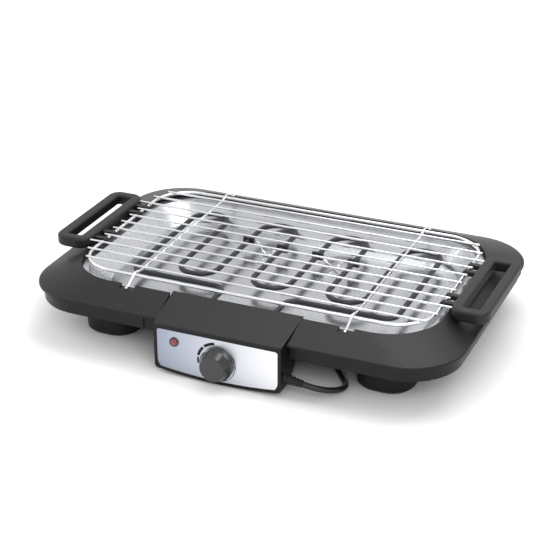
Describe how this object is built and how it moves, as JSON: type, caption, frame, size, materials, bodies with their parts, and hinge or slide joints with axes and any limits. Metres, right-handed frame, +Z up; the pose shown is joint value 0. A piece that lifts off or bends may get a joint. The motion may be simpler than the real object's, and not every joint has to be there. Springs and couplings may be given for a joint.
{
  "type": "electric tabletop grill",
  "caption": "Low electric barbecue grill: chromed wire rack with side handles over a bent tube element and drip tray, in a dark surround with a front control box.",
  "frame": {"origin": "centre of the footprint on the table, without the cord", "axes": "+Z up, +X to the right of someone facing the knob, the knob faces -Y"},
  "size_m": [0.55, 0.39, 0.0881],
  "materials": {
    "satin_black": "satin moulded",
    "dark_sheet": "dark coated sheet",
    "black_plastic": "fine grained",
    "rubber": "matt",
    "zinc_screw": "zinc plated",
    "bright_tray": "bright rolled sheet",
    "panel_steel": "brushed",
    "print_black": "printed",
    "print_white": "printed",
    "lens_red": "clear red",
    "neon_glass": "clear",
    "ceramic": "unglazed",
    "brass": "turned",
    "wire_sleeve": "glass sleeve",
    "tube_steel": "heat darkened",
    "clamp_steel": "dark coated",
    "leg_wire": "bright wire",
    "knob_black": "polished",
    "chrome": "plated",
    "cord_pvc": "smooth sheath"
  },
  "bodies": {
    "base": {"base_surround": "satin_black", "bottom_pan": "dark_sheet", "foot_pods": "black_plastic", "foot_pads": "rubber", "base_screws": "zinc_screw", "power_cord": "cord_pvc", "cord_coil": "cord_pvc", "mains_plug": "black_plastic", "plug_pins": "zinc_screw"},
    "tray": {"drip_tray": "bright_tray"},
    "control_unit": {"control_housing": "satin_black", "control_cover": "black_plastic", "cover_screws": "zinc_screw", "front_panel": "panel_steel", "panel_scale": "print_black", "lamp_bezel": "black_plastic", "lamp_lens": "lens_red", "neon_lamp": "neon_glass", "thermostat": "ceramic", "thermostat_nut": "zinc_screw", "terminal_block": "ceramic", "lead_wires": "wire_sleeve", "thermal_fuse": "brass", "cord_clamp": "ceramic", "clamp_screws": "zinc_screw", "inner_cord": "cord_pvc", "strain_relief": "rubber", "heating_tube": "tube_steel", "tube_seals": "ceramic", "tube_terminals": "zinc_screw", "tube_flange": "zinc_screw", "tube_clamps": "clamp_steel", "tube_legs": "leg_wire", "earth_tag": "brass"},
    "knob": {"control_knob": "knob_black", "knob_pointer": "print_white", "thermostat_shaft": "brass"},
    "rack": {"rack_frame": "chrome", "rack_long_wires": "chrome", "rack_cross_wires": "chrome", "handle_left": "black_plastic", "handle_right": "black_plastic", "handle_pins": "zinc_screw"}
  },
  "joints": [
    {"name": "unit_lift", "type": "slide", "parent": "base", "child": "control_unit", "axis": [0, 0, 1], "range_m": [0, 0.1]},
    {"name": "tray_lift", "type": "slide", "parent": "base", "child": "tray", "axis": [0, 0, 1], "range_m": [0, 0.04]},
    {"name": "rack_lift", "type": "slide", "parent": "control_unit", "child": "rack", "axis": [0, 0, 1], "range_m": [0, 0.06]},
    {"name": "knob_turn", "type": "hinge", "parent": "control_unit", "child": "knob", "pos_m": [0.001, -0.195, 0.02775], "axis": [0, -1, 0], "range_deg": [-100, 190]}
  ],
  "couplings": [
    {"joint": "tray_lift", "follows": "unit_lift", "ratio": 0.4}
  ]
}
